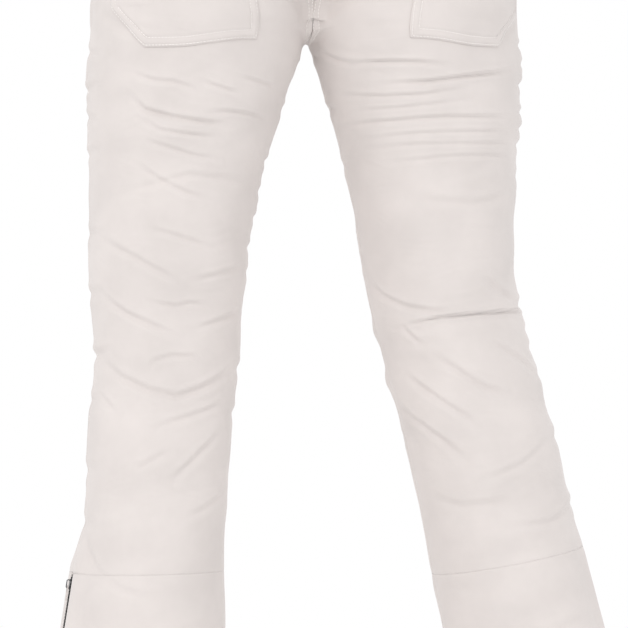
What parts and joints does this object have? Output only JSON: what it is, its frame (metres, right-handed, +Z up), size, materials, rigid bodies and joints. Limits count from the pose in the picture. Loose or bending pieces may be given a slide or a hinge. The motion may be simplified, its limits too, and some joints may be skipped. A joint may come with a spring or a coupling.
{
  "type": "ski pants",
  "caption": "Slim, slightly flared softshell ski pants with back patch pockets, belt loops, snow gaiters and zips at fly, hand pockets and ankles.",
  "frame": {"origin": "middle of the waist opening, halfway up between its front and its back edge, where the wearer's waist goes in", "axes": "+Z up along the wearer, -Y the pants' front, +X the wearer's left"},
  "size_m": [0.6231, 0.2619, 1.058],
  "materials": {
    "shell": "matte off-white stretch softshell, fine weave",
    "lining": "light woven lining cloth",
    "tape": "woven zip tape",
    "teeth": "black moulded zip teeth",
    "slider": "dark satin metal",
    "pull": "off-white moulded zip pull",
    "metal": "satin snap fastener metal",
    "elastic": "ribbed elastic"
  },
  "bodies": {
    "root": {"belt_loop_back": "shell", "belt_loop_left_front": "shell", "belt_loop_left_rear": "shell", "belt_loop_right_front": "shell", "belt_loop_right_rear": "shell", "fly_shield": "shell", "fly_zip_tape": "tape", "fly_zip_teeth": "teeth", "left_ankle_gusset": "shell", "left_ankle_zip_tape": "tape", "left_ankle_zip_teeth": "teeth", "left_back_panel": "shell", "left_back_pocket": "shell", "left_front_panel": "shell", "left_gaiter": "lining", "left_gaiter_elastic": "elastic", "left_hand_zip_tape": "tape", "left_hand_zip_teeth": "teeth", "left_hem_facing": "shell", "left_lower_back_panel": "shell", "left_lower_front_panel": "shell", "left_pocket_bag": "lining", "left_scuff_guard": "shell", "left_yoke": "shell", "right_ankle_gusset": "shell", "right_ankle_zip_tape": "tape", "right_ankle_zip_teeth": "teeth", "right_back_panel": "shell", "right_back_pocket": "shell", "right_front_panel": "shell", "right_gaiter": "lining", "right_gaiter_elastic": "elastic", "right_hand_zip_tape": "tape", "right_hand_zip_teeth": "teeth", "right_hem_facing": "shell", "right_lower_back_panel": "shell", "right_lower_front_panel": "shell", "right_pocket_bag": "lining", "right_scuff_guard": "shell", "right_yoke": "shell", "snap_back_plate": "metal", "snap_stud": "metal", "waistband": "shell"},
    "fly_slider": {"fly_zip_slider": "slider"},
    "fly_pull": {"fly_zip_pull": "pull"},
    "left_hand_slider": {"left_hand_zip_slider": "slider"},
    "left_hand_pull": {"left_hand_zip_pull": "pull"},
    "right_hand_slider": {"right_hand_zip_slider": "slider"},
    "right_hand_pull": {"right_hand_zip_pull": "pull"},
    "left_ankle_slider": {"left_ankle_zip_slider": "slider"},
    "left_ankle_pull": {"left_ankle_zip_pull": "pull"},
    "right_ankle_slider": {"right_ankle_zip_slider": "slider"},
    "right_ankle_pull": {"right_ankle_zip_pull": "pull"},
    "closure_tab": {"closure_tab": "shell", "snap_cap": "metal", "snap_socket": "metal"}
  },
  "joints": [
    {"name": "fly_zip_slide", "type": "slide", "parent": "root", "child": "fly_slider", "axis": [0, 0.2385, -0.9711], "range_m": [0, 0.08]},
    {"name": "fly_pull_hinge", "type": "hinge", "parent": "fly_slider", "child": "fly_pull", "pos_m": [0.00799, -0.09947, -0.07296], "axis": [-1, 0, 0], "range_deg": [0, 20]},
    {"name": "left_hand_zip_slide", "type": "slide", "parent": "root", "child": "left_hand_slider", "axis": [0.238, 0.0799, -0.968], "range_m": [0, 0.112]},
    {"name": "left_hand_pull_hinge", "type": "hinge", "parent": "left_hand_slider", "child": "left_hand_pull", "pos_m": [0.18225, 0.00225, -0.07222], "axis": [0.0017, -0.9966, -0.0818], "range_deg": [0, 150]},
    {"name": "right_hand_zip_slide", "type": "slide", "parent": "root", "child": "right_hand_slider", "axis": [-0.2302, 0.08, -0.9698], "range_m": [0, 0.112]},
    {"name": "right_hand_pull_hinge", "type": "hinge", "parent": "right_hand_slider", "child": "right_hand_pull", "pos_m": [-0.18219, 0.00224, -0.07225], "axis": [0, 0.9966, 0.0822], "range_deg": [0, 150]},
    {"name": "left_ankle_zip_slide", "type": "slide", "parent": "root", "child": "left_ankle_slider", "axis": [0.1634, 0.0174, -0.9864], "range_m": [0, 0.234]},
    {"name": "left_ankle_pull_hinge", "type": "hinge", "parent": "left_ankle_slider", "child": "left_ankle_pull", "pos_m": [0.23912, 0.01211, -0.80388], "axis": [-0.0186, -0.9996, -0.0207], "range_deg": [0, 150]},
    {"name": "right_ankle_zip_slide", "type": "slide", "parent": "root", "child": "right_ankle_slider", "axis": [-0.2639, 0.0104, -0.9645], "range_m": [0, 0.228]},
    {"name": "right_ankle_pull_hinge", "type": "hinge", "parent": "right_ankle_slider", "child": "right_ankle_pull", "pos_m": [-0.28564, 0.01006, -0.78042], "axis": [-0.0134, 0.9998, 0.0144], "range_deg": [0, 150]},
    {"name": "closure_tab_hinge", "type": "hinge", "parent": "root", "child": "closure_tab", "pos_m": [0.02548, -0.11459, -0.03533], "axis": [-0.0009, 0.0431, 0.9991], "range_deg": [0, 75]}
  ]
}
